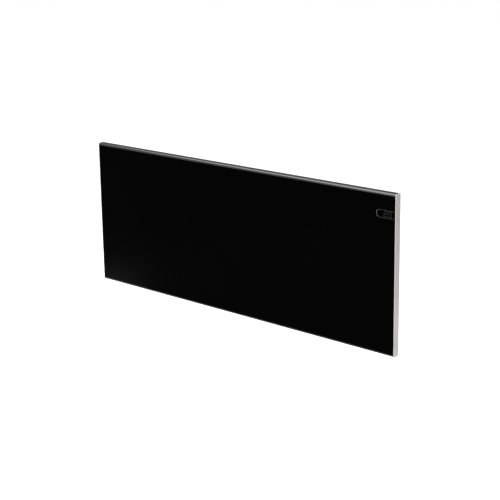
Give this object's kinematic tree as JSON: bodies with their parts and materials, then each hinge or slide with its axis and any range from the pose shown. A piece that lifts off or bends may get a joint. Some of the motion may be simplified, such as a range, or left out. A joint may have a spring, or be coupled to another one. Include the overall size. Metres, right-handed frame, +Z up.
{
  "type": "infrared panel heater",
  "caption": "Slim wall-hung radiant panel heater: gloss black front, silver end trims, printed touch display, rear control box with rocker switch, and a hook-on wall bracket.",
  "frame": {"origin": "middle of the wall screw pattern, on the wall plane", "axes": "+X along the panel to the viewer's right, +Y into the wall, +Z up"},
  "size_m": [1, 0.06, 0.4],
  "materials": {
    "black_glass": "gloss black printed glass",
    "black_rail": "gloss black coated aluminium extrusion",
    "silver_trim": "satin silver",
    "zinc_steel": "zinc plated",
    "silicone": "grey silicone adhesive",
    "mica": "mica sheet",
    "resistance_foil": "etched resistance foil",
    "reflector": "bright aluminium",
    "insulation": "pressed mineral fibre",
    "brass": "bare brass",
    "cutout_can": "white ceramic body",
    "board": "green solder mask",
    "foil": "printed sensor film",
    "dark_coat": "matt dark grey powder coat",
    "bracket_coat": "textured black powder coat",
    "black_plastic": "spark-textured black",
    "rocker_plastic": "polished black",
    "rubber": "soft black",
    "wire": "silicone wire sleeve",
    "ribbon": "pale flat cable",
    "pale_plastic": "natural nylon",
    "green_plastic": "green moulding",
    "fuse_glass": "clear tube with metal ends"
  },
  "bodies": {
    "wall_bracket": {"left_upright": "bracket_coat", "right_upright": "bracket_coat", "upper_strap": "bracket_coat", "lower_strap": "bracket_coat", "strap_rivets": "zinc_steel"},
    "heater": {"front_glass": "black_glass", "top_rail": "black_rail", "bottom_rail": "black_rail", "left_end_trim": "silver_trim", "right_end_trim": "silver_trim", "trim_screws": "zinc_steel", "glass_bond_strips": "silicone", "element_carrier": "mica", "heating_element": "resistance_foil", "element_lugs": "brass", "element_cover": "mica", "reflector_sheet": "reflector", "insulation_board": "insulation", "thermal_cutouts": "cutout_can", "temperature_sensor": "cutout_can", "heat_barrier": "mica", "touch_foil": "foil", "digit_module": "foil", "display_board": "board", "display_posts": "zinc_steel", "display_screws": "zinc_steel", "rear_cover": "dark_coat", "rear_cover_screws": "zinc_steel", "lead_grommet": "rubber", "element_leads": "wire", "lead_connector": "pale_plastic", "display_ribbon": "ribbon", "ribbon_plug": "pale_plastic", "left_hanger": "dark_coat", "right_hanger": "dark_coat", "hanger_rivets": "zinc_steel", "control_box": "black_plastic", "control_box_screws": "zinc_steel", "board_standoffs": "zinc_steel", "power_board": "board", "board_screws": "zinc_steel", "relay": "black_plastic", "power_supply": "black_plastic", "terminal_block": "green_plastic", "fuse_holder": "pale_plastic", "fuse": "fuse_glass", "earth_stud": "zinc_steel", "earth_nut": "zinc_steel", "cable_gland": "black_plastic", "gland_nut": "black_plastic", "switch_body": "black_plastic", "switch_spades": "brass"},
    "rocker": {"power_rocker": "rocker_plastic"}
  },
  "joints": [
    {"name": "lift_off", "type": "slide", "parent": "wall_bracket", "child": "heater", "axis": [0, 0, 1], "range_m": [0, 0.012]},
    {"name": "power_switch", "type": "hinge", "parent": "heater", "child": "rocker", "pos_m": [0.461, -0.029, 0.055], "axis": [0, 1, 0], "range_deg": [0, 16]}
  ]
}
